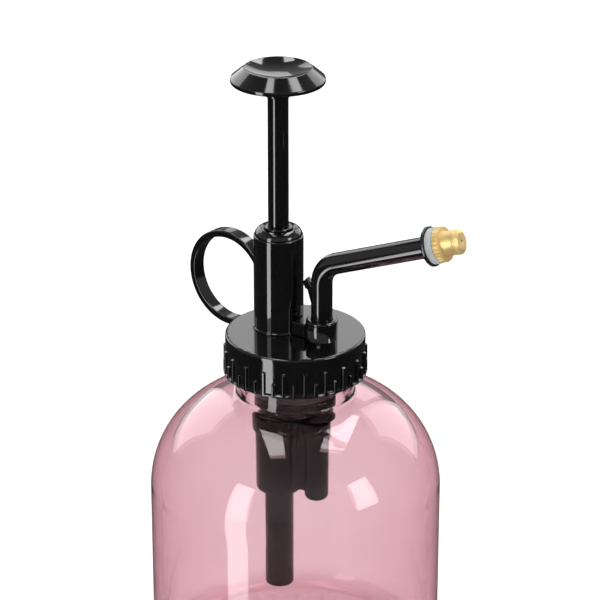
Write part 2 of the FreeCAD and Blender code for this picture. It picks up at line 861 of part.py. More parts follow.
def along_arm(distance):
    """Expressions for the point at a distance past the arm's corner."""
    return (
        f"Sizes.socket_out + ({distance}) * cos(Sizes.arm_rise * 1 deg)",
        "0",
        f"Sizes.arm_corner + ({distance}) * sin(Sizes.arm_rise * 1 deg)",
    )


def arm_path(name, radius, low, back):
    """The arm's tube at one radius, from low up, round the elbow and to back short of its end."""
    riser_spot = ("Sizes.socket_out", "0", f"Sizes.arm_low - ({low})")
    riser_height = f"Sizes.arm_corner - {TANGENT} - Sizes.arm_low + ({low})"
    riser = cylinder(name + "_riser", radius, riser_height, riser_spot, UPRIGHT)
    elbow = doc.addObject("Part::Torus", name + "_elbow")
    bind(elbow, Radius1="arm_bend", Radius2=radius)
    elbow.Angle1 = -180
    elbow.Angle2 = 180
    elbow.setExpression("Angle3", "90 - Sizes.arm_rise")
    start, climb, side = (FreeCAD.Vector(*v) for v in ((-1, 0, 0), (0, 0, 1), (0, 1, 0)))
    turn = FreeCAD.Rotation(start, climb, side, "XYZ")
    elbow.Placement = FreeCAD.Placement(FreeCAD.Vector(), turn)
    elbow.setExpression("Placement.Base.x", "Sizes.socket_out + Sizes.arm_bend")
    elbow.setExpression("Placement.Base.z", f"Sizes.arm_corner - {TANGENT}")
    run_height = f"Sizes.arm_reach - {TANGENT} - ({back})"
    run = cylinder(name + "_run", radius, run_height, along_arm(TANGENT), ALONG_ARM)
    return [riser, elbow, run]


def make_arm():
    solid = arm_path("arm", "arm_radius", "0", "Sizes.arm_flange_thickness / 2")
    flange_spot = along_arm("Sizes.arm_reach - Sizes.arm_flange_thickness")
    thickness = "Sizes.arm_flange_thickness"
    solid.append(cylinder("arm_flange", "arm_flange", thickness, flange_spot, ALONG_ARM))
    sketch = doc.addObject("Sketcher::SketchObject", "hook_outline")
    outline(sketch, [
        ("socket_out - hook_root", "hook_low"),
        ("socket_out - hook_root", "hook_block_low + 0.6"),
        ("socket_out - hook_crown", "hook_high"),
        ("socket_out - hook_tip", "hook_high - 1.5"),
        ("socket_out - hook_heel", "hook_block_low"),
        ("socket_out - hook_heel + 0.6", "hook_block_low"),
    ])
    facing = FreeCAD.Rotation(FreeCAD.Vector(1, 0, 0), 90)
    sketch.Placement = FreeCAD.Placement(FreeCAD.Vector(), facing)
    hook = doc.addObject("Part::Extrusion", "hook")
    hook.Base = sketch
    hook.DirMode = "Custom"
    hook.Dir = FreeCAD.Vector(0, 1, 0)
    hook.Solid = True
    hook.Symmetric = True
    hook.setExpression("LengthFwd", "2 * Sizes.hook_half")
    solid.append(hook)
    hollow = arm_path("arm_hollow", "arm_bore", "1", "-1")
    thread_spot = along_arm("Sizes.arm_reach - Sizes.arm_thread_depth")
    depth = "Sizes.arm_thread_depth + 1"
    hollow.append(cylinder("arm_thread", "arm_thread_bore", depth, thread_spot, ALONG_ARM))
    arm = doc.addObject("Part::Cut", "arm_cut")
    arm.Base = fused("arm_outside", solid)
    arm.Tool = fused("arm_inside", hollow)
    named(arm, "spray_arm")
    seal = ring_seal("arm_seal", "arm_seal_ring", "arm_seal_section")
    put(seal, *SOCKET, "arm_seal_level")


# Nozzle: washer, body, tip and swirl core, each turned about the arm's axis


def on_arm_end(body):
    body.Placement = FreeCAD.Placement(FreeCAD.Vector(), ALONG_ARM)
    for axis, expression in zip("xyz", along_arm("Sizes.arm_reach")):
        body.setExpression(f"Placement.Base.{axis}", expression)
    return body


def make_nozzle():
    on_arm_end(turned("nozzle_washer", [
        ("washer_bore", "0"),
        ("washer_radius - washer_round", "0"),
        ("washer_radius", "washer_round"),
        ("washer_radius", "washer_thickness - washer_round"),
        ("washer_radius - washer_round", "washer_thickness"),
        ("washer_bore", "washer_thickness"),
    ]))
    body = doc.addObject("PartDesign::Body", "nozzle_body_body")
    revolve(body, "nozzle_turned", [
        ("nozzle_bore", "- shank_length"),
        ("shank_radius - 0.3", "- shank_length"),
        ("shank_radius", "- shank_length + 0.3"),
        ("shank_radius", "washer_thickness"),
        ("knurl_radius - knurl_chamfer", "washer_thickness"),
        ("knurl_radius", "washer_thickness + knurl_chamfer"),
        ("knurl_radius", "knurl_front - knurl_chamfer"),
        ("knurl_radius - knurl_chamfer", "knurl_front"),
        ("nose_radius", "knurl_front"),
        ("nose_radius", "nose_front"),
        ("tip_seat", "nose_front"),
        ("tip_seat", "tip_seat_low"),
        ("nozzle_bore", "tip_seat_low"),
    ])
    sketch = sketch_on(body, "notch_outline", "XY_Plane", "washer_thickness")
    outline(sketch, [
        ("knurl_radius - knurl_notch", "0"),
        ("knurl_radius + 0.1", "- knurl_notch - 0.05"),
        ("knurl_radius + 0.1", "knurl_notch + 0.05"),
    ])
    notch = body.newObject("PartDesign::Pocket", "notch")
    notch.Profile = sketch
    notch.Reversed = True
    notch.setExpression("Length", span("washer_thickness", "knurl_front"))
    pattern = body.newObject("PartDesign::PolarPattern", "knurl")
    pattern.Originals = [notch]
    pattern.Axis = (plane_of(body, "Z_Axis"), [""])
    pattern.Angle = 360.0
    bind(pattern, Occurrences="knurl_teeth")
    body.Tip = pattern
    on_arm_end(named(body, "nozzle_body"))
    on_arm_end(turned("nozzle_tip", [
        ("tip_throat", "tip_seat_low"),
        ("tip_fit", "tip_seat_low"),
        ("tip_fit", "nose_front"),
        ("tip_radius", "nose_front"),
        ("tip_radius", "tip_shoulder"),
        ("tip_face", "tip_front"),
        ("orifice", "tip_front"),
        ("orifice", "tip_throat_end"),
        ("tip_throat", "tip_throat_end"),
    ]))
    core = doc.addObject("PartDesign::Body", "core_body")
    revolve(core, "core_turned", [
        ("0", "core_low"),
        ("core_radius - 0.2", "core_low"),
        ("core_radius", "core_low + 0.2"),
        ("core_radius", "tip_seat_low - 0.1"),
        ("tip_throat - 0.05", "tip_seat_low - 0.1"),
        ("tip_throat - 0.05", "core_high"),
        ("0", "core_high"),
    ])
    on_arm_end(named(core, "swirl_core"))


make_bottle()
make_cap()
make_gasket()
make_barrel()
make_gland()
make_plunger()
make_spring("return_spring", "spring_ring", "spring_wire", "spring_low", "spring_high",
            "spring_turns", BARREL)
make_housing()
make_chamber()
put(ring_seal("joint_seal", "joint_seal_ring", "joint_seal_section"), *BARREL, "joint_seal_level")
make_ball("outlet_ball", "outlet_ball_radius", "outlet_ball_level", OUTLET)
make_spring("outlet_spring", "outlet_spring_ring", "outlet_spring_wire", "outlet_spring_low",
            "outlet_spring_high", "outlet_spring_turns", OUTLET)
make_inlet()
make_ball("inlet_ball", "inlet_ball_radius", "inlet_ball_level", BARREL)
make_arm()
make_nozzle()
doc.recompute()

# Checks, then one STEP file for each sub-part

for thing in doc.Objects:
    if "Invalid" in thing.State or "Error" in thing.State:
        raise RuntimeError(f"{thing.Name} did not compute: {thing.State}")
    if thing.TypeId == "PartDesign::Pocket":
        before = thing.BaseFeature.Shape.Volume
        if thing.Shape.Volume > before - 1e-3:
            raise RuntimeError(f"{thing.Name} cuts nothing")

for piece in pieces:
    if piece.Shape.isNull() or not piece.Shape.isValid() or len(piece.Shape.Solids) != 1:
        raise RuntimeError(f"{piece.Label} is not one valid solid")

os.makedirs("parts", exist_ok=True)
for piece in pieces:
    piece.Shape.exportStep(f"parts/{piece.Label}.step")
    box = piece.Shape.BoundBox
    print(f"{piece.Label}: {piece.Shape.Volume:.1f} mm3, z {box.ZMin:.2f} to {box.ZMax:.2f}")
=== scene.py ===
import json
import math

import bmesh
import bpy
from mathutils import Matrix, Vector


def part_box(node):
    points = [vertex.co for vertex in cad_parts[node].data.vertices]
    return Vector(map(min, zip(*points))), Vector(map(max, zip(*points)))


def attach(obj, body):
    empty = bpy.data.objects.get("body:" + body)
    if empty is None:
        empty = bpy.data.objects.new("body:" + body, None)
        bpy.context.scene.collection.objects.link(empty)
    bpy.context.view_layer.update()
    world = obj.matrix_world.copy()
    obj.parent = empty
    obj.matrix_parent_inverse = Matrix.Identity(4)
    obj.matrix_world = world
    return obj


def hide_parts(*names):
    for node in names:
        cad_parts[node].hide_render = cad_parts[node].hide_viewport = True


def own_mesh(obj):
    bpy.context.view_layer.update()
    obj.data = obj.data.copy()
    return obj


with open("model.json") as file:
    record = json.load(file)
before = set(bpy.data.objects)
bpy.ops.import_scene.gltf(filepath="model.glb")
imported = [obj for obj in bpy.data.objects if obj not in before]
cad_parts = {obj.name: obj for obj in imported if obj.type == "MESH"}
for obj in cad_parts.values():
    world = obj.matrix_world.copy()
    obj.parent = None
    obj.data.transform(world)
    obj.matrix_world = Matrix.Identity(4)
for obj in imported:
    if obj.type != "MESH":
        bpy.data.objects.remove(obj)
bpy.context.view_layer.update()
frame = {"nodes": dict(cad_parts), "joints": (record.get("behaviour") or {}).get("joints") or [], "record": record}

MM = 0.001
TAU = 2 * math.pi
TINY = 1e-6
ORIGIN = Vector((0, 0, 0))
UP = Vector((0, 0, 1))


# Places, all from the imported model. Lengths in this file are in millimetres until they reach a
# mesh, a light or the camera.


def low_of(node):
    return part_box(node)[0] / MM


def high_of(node):
    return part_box(node)[1] / MM


def middle_of(node):
    return (low_of(node) + high_of(node)) / 2


def joint_axis(name):
    return Vector(next(j for j in frame["joints"] if j["name"] == name)["axis"]).normalized()


BARREL = middle_of("gland_nut").to_2d()
SOCKET = middle_of("arm_seal").to_2d()
OUTLET = middle_of("outlet_ball").to_2d()
CAP_LOW, CAP_TOP = low_of("screw_cap").z, high_of("screw_cap").z
ARM_AXIS = joint_axis("nozzle_turn")
WASHER_THICKNESS = 2.1
ARM_END = middle_of("nozzle_washer") - ARM_AXIS * WASHER_THICKNESS / 2


# Outlines: lines of (radius, height) corners, made smooth before they are turned


def swung(start, stop, share):
    """A share of the way from one plane vector to another, round the shorter side."""
    turn = math.remainder(math.atan2(stop.y, stop.x) - math.atan2(start.y, start.x), TAU)
    angle = math.atan2(start.y, start.x) + turn * share
    reach = start.length + (stop.length - start.length) * share
    return Vector((math.cos(angle), math.sin(angle))) * reach


def softened(corners, steps=4, closed=False):
    """The line through (x, y, round) corners, with each corner turned into an arc of its round."""
    points = []
    count = len(corners)
    for i, corner in enumerate(corners):
        spot = Vector(corner[:2])
        size = corner[2] if len(corner) > 2 else 0.0
        if size <= 0 or (not closed and i in (0, count - 1)):
            points.append(spot)
            continue
        before = Vector(corners[i - 1][:2]) - spot
        after = Vector(corners[(i + 1) % count][:2]) - spot
        half = before.angle(after) / 2
        reach = min(size / math.tan(half), 0.49 * before.length, 0.49 * after.length)
        size = reach * math.tan(half)
        first, last = spot + before.normalized() * reach, spot + after.normalized() * reach
        bisector = (before.normalized() + after.normalized()).normalized()
        centre = spot + bisector * (size / math.sin(half))
        for step in range(steps + 1):
            points.append(centre + swung(first - centre, last - centre, step / steps))
    return points


def arc(start, stop, radius, turn, steps):
    """Points on the minor arc after start up to stop, turning left (1) or right (-1)."""
    start, stop = Vector(start), Vector(stop)
    chord = stop - start
    rise = math.sqrt(max(radius**2 - (chord.length / 2) ** 2, 0.0))
    side = Vector((-chord.y, chord.x)).normalized()
    centre = start + chord / 2 + side * rise * turn
    return [
        centre + swung(start - centre, stop - centre, step / steps)
        for step in range(1, steps + 1)
    ]


def ladder(low, high, step):
    """Heights from low up to high, no more than step apart."""
    count = max(1, math.ceil(abs(high - low) / step))
    return [low + (high - low) * i / count for i in range(count + 1)]


# Meshes


def mesh_piece(name, verts, faces):
    """A smooth-shaded mesh object from points in millimetres."""
    mesh = bpy.data.meshes.new(name)
    mesh.from_pydata([Vector(v) * MM for v in verts], [], faces)
    build = bmesh.new()
    build.from_mesh(mesh)
    bmesh.ops.recalc_face_normals(build, faces=build.faces)
    build.to_mesh(mesh)
    build.free()
    mesh.shade_smooth()
    piece = bpy.data.objects.new(name, mesh)
    bpy.context.scene.collection.objects.link(piece)
    return piece


def skinned(name, rows, closed):
    """A skin over rows of points. A row of one point is a pole. closed joins the last row to the
    first."""
    verts, faces, starts = [], [], []
    for row in rows:
        starts.append(len(verts))
        verts.extend(row)
    pairs = list(zip(range(len(rows) - 1), range(1, len(rows))))
    if closed:
        pairs.append((len(rows) - 1, 0))
    for a, b in pairs:
        wide = max(len(rows[a]), len(rows[b]))
        for i in range(wide):
            j = (i + 1) % wide
            ring = [starts[a] + i % len(rows[a]), starts[a] + j % len(rows[a])]
            ring += [starts[b] + j % len(rows[b]), starts[b] + i % len(rows[b])]
            face = list(dict.fromkeys(ring))
            if len(face) > 2:
                faces.append(face)
    return mesh_piece(name, verts, faces)


def capped(rows):
    """Rows with the middle point of each end row added, so that a skin over them is closed."""
    ends = [[sum(row, Vector((0, 0, 0))) / len(row)] for row in (rows[0], rows[-1])]
    return [ends[0], *rows, ends[1]]


def turned(name, line, origin, axis=UP, closed=False, around=96, shape=None):
    """Turns a line of (radius, height) about an axis, at a count of even angles or at given ones.
    shape(angle, radius, height) may change a radius."""
    angles = [TAU * i / around for i in range(around)] if isinstance(around, int) else around
    across = Vector((0, 1, 0)).cross(axis).normalized()
    beside = axis.cross(across)
    rows = []
    for radius, height in line:
        centre = origin + axis * height
        if radius < TINY:
            rows.append([centre])
            continue
        row = []
        for angle in angles:
            reach = shape(angle, radius, height) if shape else radius
            row.append(centre + (across * math.cos(angle) + beside * math.sin(angle)) * reach)
        rows.append(row)
    return skinned(name, rows, closed)


def upright(place, height=0.0):
    """A place on the plane, at a height."""
    return Vector((place.x, place.y, height))


SHARP_ANGLE = math.radians(35.0)


def crisp(piece, width=0.0, segments=3):
    """Rounds a piece's sharp edges by a width, and lets its flat faces rule the shading."""
    if width:
        bevel = piece.modifiers.new("Rounded", "BEVEL")
        bevel.width = width * MM
        bevel.segments = segments
        bevel.limit_method = "ANGLE"
        bevel.angle_limit = SHARP_ANGLE
        bevel.use_clamp_overlap = True
    piece.data.set_sharp_from_angle(angle=SHARP_ANGLE)
    weighted = piece.modifiers.new("Weighted", "WEIGHTED_NORMAL")
    weighted.mode = "FACE_AREA_WITH_ANGLE"
    weighted.weight = 50
    weighted.keep_sharp = True
    return piece


def settled(piece):
    """Replaces a piece's mesh by what its modifiers make of it."""
    bpy.context.view_layer.update()
    shown = piece.evaluated_get(bpy.context.evaluated_depsgraph_get())
    mesh = bpy.data.meshes.new_from_object(shown)
    piece.modifiers.clear()
    piece.data = mesh
    mesh.shade_smooth()
    return piece


def joined(piece, tool, operation="UNION"):
    """Adds a closed tool to a piece or cuts it away, then removes the tool."""
    cut = piece.modifiers.new("Joined", "BOOLEAN")
    cut.operation = operation
    cut.solver = "EXACT"
    cut.object = tool
    settled(piece)
    bpy.data.objects.remove(tool)
    build = bmesh.new()
    build.from_mesh(piece.data)
    bmesh.ops.remove_doubles(build, verts=build.verts, dist=2e-7)
    bmesh.ops.dissolve_degenerate(build, dist=1e-7, edges=build.edges)
    build.to_mesh(piece.data)
    build.free()
    piece.data.shade_smooth()
    return piece


def prism(name, outline, depth):
    """A closed block: a flat outline of points, carried along depth."""
    count = len(outline)
    verts = list(outline) + [spot + depth for spot in outline]
    faces = [list(range(count)), list(range(count, 2 * count))]
    faces += [[i, (i + 1) % count, count + (i + 1) % count, count + i] for i in range(count)]
    return mesh_piece(name, verts, faces)


def rod(name, place, radius, low, high, around=64):
    """A closed upright cylinder."""
    line = [(0, low), (radius, low), (radius, high), (0, high)]
    return turned(name, line, upright(place), around=around)


# Materials: colour, roughness and bump come from noise in the piece's own space


class Finish:
    """A material of nodes, built up call by call."""

    def __init__(self, name):
        self.material = bpy.data.materials.new(name)
        self.material.use_nodes = True
        self.tree = self.material.node_tree
        self.tree.nodes.clear()
        self.output = self.add("ShaderNodeOutputMaterial")
        self.shader = self.add("ShaderNodeBsdfPrincipled")
        self.tree.links.new(self.shader.outputs["BSDF"], self.output.inputs["Surface"])
        self.space = self.add("ShaderNodeTexCoord").outputs["Object"]
        self.last_bump = None

    def add(self, kind, **settings):
        node = self.tree.nodes.new(kind)
        for key, setting in settings.items():
            setattr(node, key, setting)
        return node

    def link(self, source, target):
        self.tree.links.new(source, target)

    def set(self, **values):
        for key, setting in values.items():
            self.shader.inputs[key.replace("_", " ")].default_value = setting
        return self

    def noise(self, size, detail=2.0, roughness=0.5, stretch=(1, 1, 1)):
        """Noise whose features are about size millimetres."""
        mapping = self.add("ShaderNodeMapping")
        mapping.inputs["Scale"].default_value = stretch
        self.link(self.space, mapping.inputs["Vector"])
        noise = self.add("ShaderNodeTexNoise")
        noise.inputs["Scale"].default_value = 1 / (size * MM)
        noise.inputs["Detail"].default_value = detail
        noise.inputs["Roughness"].default_value = roughness
        self.link(mapping.outputs["Vector"], noise.inputs["Vector"])
        return noise.outputs["Fac"]

    def spread(self, source, low, high, start=0.3, stop=0.7):
        """Maps a source's start to stop onto low to high."""
        scale = self.add("ShaderNodeMapRange", clamp=True)
        settings = {"From Min": start, "From Max": stop, "To Min": low, "To Max": high}
        for key, setting in settings.items():
            scale.inputs[key].default_value = setting
        self.link(source, scale.inputs["Value"])
        return scale.outputs["Result"]

    def colours(self, source, *stops):
        """The base colour from a source: stops are (position, colour)."""
        ramp = self.add("ShaderNodeValToRGB")
        while len(ramp.color_ramp.elements) < len(stops):
            ramp.color_ramp.elements.new(1.0)
        for element, (position, colour) in zip(ramp.color_ramp.elements, stops):
            element.position = position
            element.color = (*colour, 1.0)
        self.link(source, ramp.inputs["Fac"])
        self.link(ramp.outputs["Color"], self.shader.inputs["Base Color"])
        return self

    def drive(self, key, source):
        self.link(source, self.shader.inputs[key])
        return self

    def bump(self, source, depth):
        """Adds relief whose full height is depth millimetres."""
        node = self.add("ShaderNodeBump")
        node.inputs["Strength"].default_value = 1.0
        node.inputs["Distance"].default_value = depth * MM
        self.link(source, node.inputs["Height"])
        if self.last_bump:
            self.link(self.last_bump, node.inputs["Normal"])
        self.last_bump = node.outputs["Normal"]
        self.link(self.last_bump, self.shader.inputs["Normal"])
        return self

    def along(self, axis):
        """Distance along a fixed direction, in metres."""
        dot = self.add("ShaderNodeVectorMath", operation="DOT_PRODUCT")
        dot.inputs[1].default_value = axis
        self.link(self.space, dot.inputs[0])
        return dot.outputs["Value"]


INSIDE_TOP = 89.5


def black_plastic():
    """Glossy moulding, duller where it hangs inside the bottle."""
    finish = Finish("black_plastic")
    finish.set(IOR=1.6)
    shine = finish.spread(finish.along(UP), 0.22, 0.5, (INSIDE_TOP - 1) * MM, INSIDE_TOP * MM)
    finish.drive("Specular IOR Level", shine)
    finish.colours(
        finish.noise(14.0, detail=3.0),
        (0.3, (0.0022, 0.0022, 0.0025)),
        (0.7, (0.0042, 0.0042, 0.0045)),
    )
    gloss = finish.spread(finish.noise(5.0, detail=5.0, roughness=0.6), 0.05, 0.12)
    finish.drive("Roughness", gloss)
    finish.bump(finish.noise(9.0, detail=1.0), 0.012)
    finish.bump(finish.noise(0.6, detail=2.0), 0.0006)
    return finish.material


def pink_glass():
    finish = Finish("pink_glass")
    finish.set(
        Base_Color=(1.0, 1.0, 1.0, 1.0), IOR=1.46, Transmission_Weight=1.0, Specular_IOR_Level=0.5
    )
    finish.drive("Roughness", finish.spread(finish.noise(22.0, detail=4.0), 0.0, 0.012))
    finish.bump(finish.noise(30.0, detail=1.0), 0.008)
    volume = finish.add("ShaderNodeVolumeAbsorption")
    volume.inputs["Color"].default_value = (0.57, 0.10, 0.20, 1.0)
    volume.inputs["Density"].default_value = 160.0
    finish.link(volume.outputs["Volume"], finish.output.inputs["Volume"])
    return finish.material


def brass():
    finish = Finish("brass")
    finish.set(Metallic=0.6)
    finish.colours(
        finish.noise(3.0, detail=4.0),
        (0.25, (0.70, 0.50, 0.19)),
        (0.75, (0.84, 0.64, 0.29)),
    )
    finish.drive("Roughness", finish.spread(finish.noise(1.2, detail=4.0), 0.38, 0.52))
    rings = finish.add("ShaderNodeTexNoise", noise_dimensions="1D")
    rings.inputs["Scale"].default_value = 1 / (0.16 * MM)
    rings.inputs["Detail"].default_value = 3.0
    finish.link(finish.along(ARM_AXIS), rings.inputs["W"])
    finish.bump(rings.outputs["Fac"], 0.012)
    finish.bump(finish.noise(0.5, detail=2.0), 0.004)
    return finish.material


def milky_plastic():
    finish = Finish("milky_plastic")
    finish.set(
        IOR=1.49,
        Subsurface_Weight=0.6,
        Subsurface_Radius=(0.8, 0.9, 1.0),
        Subsurface_Scale=0.0015,
    )
    finish.colours(
        finish.noise(2.5, detail=3.0),
        (0.3, (0.38, 0.40, 0.42)),
        (0.7, (0.46, 0.48, 0.49)),
    )
    finish.drive("Roughness", finish.spread(finish.noise(1.0, detail=3.0), 0.30, 0.42))
    finish.bump(finish.noise(0.9, detail=2.0), 0.004)
    return finish.material


def rubber():
    finish = Finish("rubber")
    finish.colours(
        finish.noise(1.5, detail=4.0),
        (0.3, (0.018, 0.018, 0.018)),
        (0.7, (0.036, 0.035, 0.034)),
    )
    finish.drive("Roughness", finish.spread(finish.noise(0.8, detail=3.0), 0.48, 0.66))
    finish.bump(finish.noise(0.35, detail=3.0), 0.006)
    return finish.material


def steel():
    finish = Finish("steel")
    finish.set(Metallic=1.0)
    finish.colours(
        finish.noise(2.0, detail=3.0),
        (0.3, (0.50, 0.50, 0.52)),
        (0.7, (0.66, 0.66, 0.68)),
    )
    finish.drive("Roughness", finish.spread(finish.noise(0.7, detail=4.0), 0.16, 0.32))
    finish.bump(finish.noise(0.3, detail=3.0, stretch=(1, 1, 0.25)), 0.003)
    return finish.material


FINISHES = {
    "black_plastic": black_plastic(),
    "pink_glass": pink_glass(),
    "brass": brass(),
    "milky_plastic": milky_plastic(),
    "rubber": rubber(),
    "steel": steel(),
}
SLOTS = {row["node"]: row["material_slot"] for row in frame["record"]["subparts"]}
BODIES = {
    node: body
    for body, members in frame["record"]["behaviour"]["bodies"].items()
    for node in members
}


def stand_for(piece, node):
    """Lets a piece stand for a CAD node: on its body, in its slot, with its finish."""
    piece.data.materials.clear()
    piece.data.materials.append(FINISHES[SLOTS[node]])
    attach(piece, BODIES[node])
    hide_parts(node)
    return piece


# Bottle: one closed wall with its thread

BOTTLE_RADIUS = 40.0
BOTTLE_BORE = 37.0
BOTTLE_FLOOR = 4.4
HEEL_ROUND = 5.0
SIDE_TOP = 55.3
SHOULDER_END = (16.96, 83.44)
SHOULDER_RADIUS, SHOULDER_BORE = 28.7, 25.7
NECK_RADIUS = 16.0
NECK_BORE = 13.6
NECK_LOW = 84.61
RIM_TOP = 97.65
RIM_ROUND = 0.65
THREAD_PITCH, THREAD_RISE, THREAD_START = 3.2, 4.0, 91.6
THREAD_DEPTH = 1.1
THREAD_HALF = 0.65
THREAD_RUN_IN = 0.4


def thread_height(angle, level):
    """How far a right-hand thread stands out, at a level above its start. It runs in and out
    smoothly."""
    best = 0.0
    for turn in (0, 1):
        rise = (angle / TAU % 1 + turn) * THREAD_PITCH
        if rise > THREAD_RISE:
            continue
        ends = min(1.0, rise / THREAD_RUN_IN, (THREAD_RISE - rise) / THREAD_RUN_IN)
        away = abs(level - rise) / THREAD_HALF
        if away < 1:
            best = max(best, ends * (0.5 + 0.5 * math.cos(math.pi * away)) ** 0.6)
    return THREAD_DEPTH * best


def thread_on_neck(angle, radius, height):
    """The neck's radius with its thread."""
    if radius < NECK_RADIUS - 1e-3 or not CAP_LOW < height < THREAD_START + THREAD_RISE + 1:
        return radius
    return radius + thread_height(angle, height - THREAD_START)


def column(radius, low, high, step):
    """Points straight up or down at one radius, no more than step apart."""
    return [Vector((radius, z)) for z in ladder(low, high, step)]


def bottle_line():
    """Outside from the middle of the foot to the rim, then inside from the rim to the floor."""
    rim = RIM_TOP - RIM_ROUND
    heel = BOTTLE_RADIUS - HEEL_ROUND
    outside = [Vector((r, 0)) for r in (0, 12.0, 24.0, 33.0, heel)]
    outside += arc((heel, 0), (BOTTLE_RADIUS, HEEL_ROUND), HEEL_ROUND, 1, 14)
    outside += column(BOTTLE_RADIUS, HEEL_ROUND, SIDE_TOP, 4.0)[1:]
    outside += arc((BOTTLE_RADIUS, SIDE_TOP), SHOULDER_END, SHOULDER_RADIUS, 1, 46)
    outside += arc(SHOULDER_END, (NECK_RADIUS, NECK_LOW), 1.2, -1, 8)
    outside += column(NECK_RADIUS, 85.2, 90.5, 0.8)
    outside += column(NECK_RADIUS, 90.7, 96.7, 0.11)
    outside += arc((NECK_RADIUS, rim), (NECK_RADIUS - RIM_ROUND, RIM_TOP), RIM_ROUND, 1, 5)
    lip = (NECK_BORE + RIM_ROUND, RIM_TOP)
    inside = [Vector(lip)] + arc(lip, (NECK_BORE, rim), RIM_ROUND, 1, 5)
    inside += column(NECK_BORE, rim, 82.8, 2.0)[1:]
    inside += arc((NECK_BORE, 82.8), (15.2, 80.7), 2.3, 1, 8)
    inside += arc((15.2, 80.7), (BOTTLE_BORE, SIDE_TOP), SHOULDER_BORE, -1, 40)
    floor_round = BOTTLE_FLOOR + HEEL_ROUND
    inside += column(BOTTLE_BORE, SIDE_TOP, floor_round, 4.0)[1:]
    edge = (BOTTLE_BORE - HEEL_ROUND, BOTTLE_FLOOR)
    inside += arc((BOTTLE_BORE, floor_round), edge, HEEL_ROUND, -1, 14)
    inside += [Vector((r, BOTTLE_FLOOR)) for r in (24.0, 12.0, 0)]
    return outside + inside


glass = turned("glass_bottle", bottle_line(), ORIGIN, around=256, shape=thread_on_neck)
stand_for(glass, "bottle")
glass.visible_shadow = False


# Screw cap: a wall with tall and short ribs, a plate with two holes, and the thread inside

CAP_RADIUS = 19.05
RIB_RADIUS = 19.65
CAP_BORE = 17.45
CAP_PLATE = 1.8
RIB_PAIRS = 21
RIB_HALF = 0.5
RIB_ROUND = 0.25
RIB_FOOT = 0.58
RIB_TURN = math.radians(-2.6)
RIB_RUN_OUT = 0.35
TALL_HIGH, SHORT_HIGH = 97.0, 93.8
CAP_ROUND = 0.6
CAP_THREAD_START = 93.2
BARREL_HOLE = 6.22
SOCKET_HOLE = 4.32


def smooth_step(x):
    """0 below 0, 1 above 1 and a smooth rise between."""
    x = min(1.0, max(0.0, x))
    return x * x * (3 - 2 * x)


def rib_height(away):
    """How far a rib stands out at a distance from its middle: flat, rounded, then steep."""
    full = RIB_RADIUS - CAP_RADIUS
    if away <= RIB_HALF - RIB_ROUND:
        return full
    if away <= RIB_HALF:
        return full - RIB_ROUND + math.sqrt(RIB_ROUND**2 - (away - RIB_HALF + RIB_ROUND) ** 2)
    return max(0.0, (full - RIB_ROUND) * (RIB_FOOT - away) / (RIB_FOOT - RIB_HALF))


def ribbed(angle, radius, height):
    """The cap's wall with its ribs."""
    if radius < CAP_RADIUS - 0.01 or height > TALL_HIGH + 0.5:
        return radius
    best = 0.0
    for phase, high in ((0.0, TALL_HIGH), (0.5, SHORT_HIGH)):
        turn = (angle - RIB_TURN) / TAU * RIB_PAIRS - phase
        away = abs(turn - round(turn)) * TAU / RIB_PAIRS * RIB_RADIUS
        ends = 1 - smooth_step((height - high + RIB_RUN_OUT) / RIB_RUN_OUT)
        best = max(best, rib_height(away) * ends)
    return max(radius, CAP_RADIUS + best)


def rib_angles():
    """Angles round the cap, close together at the edges of each rib."""
    half = (0.12, 0.25, 0.3, 0.35, 0.4, 0.44, 0.475, 0.497, 0.58, 0.75, 1.1)
    spots = [-x for x in reversed(half)] + [0.0] + list(half)
    pitch = math.pi / RIB_PAIRS
    return [
        RIB_TURN + rib * pitch + spot / RIB_RADIUS for rib in range(2 * RIB_PAIRS) for spot in spots
    ]


def cap_shape(angle, radius, height):
    """The cap's ribs outside and its thread inside."""
    if radius > (CAP_BORE + CAP_RADIUS) / 2:
        return ribbed(angle, radius, height)
    if radius > CAP_BORE + 1e-3:
        return radius
    return radius - thread_height(angle, height - CAP_THREAD_START)


def make_cap():
    line = [Vector((RIB_RADIUS - 0.2, CAP_LOW)), Vector((RIB_RADIUS, CAP_LOW + 0.2))]
    line += [Vector((RIB_RADIUS, CAP_LOW + 0.45)), Vector((CAP_RADIUS + 0.12, CAP_LOW + 0.75))]
    line += column(CAP_RADIUS, CAP_LOW + 0.95, SHORT_HIGH - 0.4, 0.8)
    line += column(CAP_RADIUS, SHORT_HIGH - 0.3, SHORT_HIGH + 0.05, 0.09)
    line += column(CAP_RADIUS, SHORT_HIGH + 0.4, TALL_HIGH - 0.4, 0.8)
    line += column(CAP_RADIUS, TALL_HIGH - 0.3, TALL_HIGH + 0.05, 0.09)
    line += column(CAP_RADIUS, TALL_HIGH + 0.4, CAP_TOP - CAP_ROUND, 0.9)
    corner = (CAP_RADIUS - CAP_ROUND, CAP_TOP)
    line += arc(line[-1], corner, CAP_ROUND, 1, 6)
    ceiling = CAP_TOP - CAP_PLATE
    line += [Vector((r, CAP_TOP)) for r in (17.6, 16.0, 0)]
    line += [Vector((r, ceiling)) for r in (0, 16.0, CAP_BORE)]
    line += column(CAP_BORE, 98.6, 92.2, 0.16)
    line += [Vector((CAP_BORE, z)) for z in (91.4, 90.6, CAP_LOW)]
    cap = turned("ribbed_cap", line, ORIGIN, closed=True, around=rib_angles(), shape=cap_shape)
    for place, radius in ((BARREL, BARREL_HOLE), (SOCKET, SOCKET_HOLE)):
        joined(cap, rod("hole", place, radius, CAP_TOP - 3, CAP_TOP + 1), "DIFFERENCE")
    return crisp(cap)


stand_for(make_cap(), "screw_cap")


# Barrel, with the finger ring moulded on it

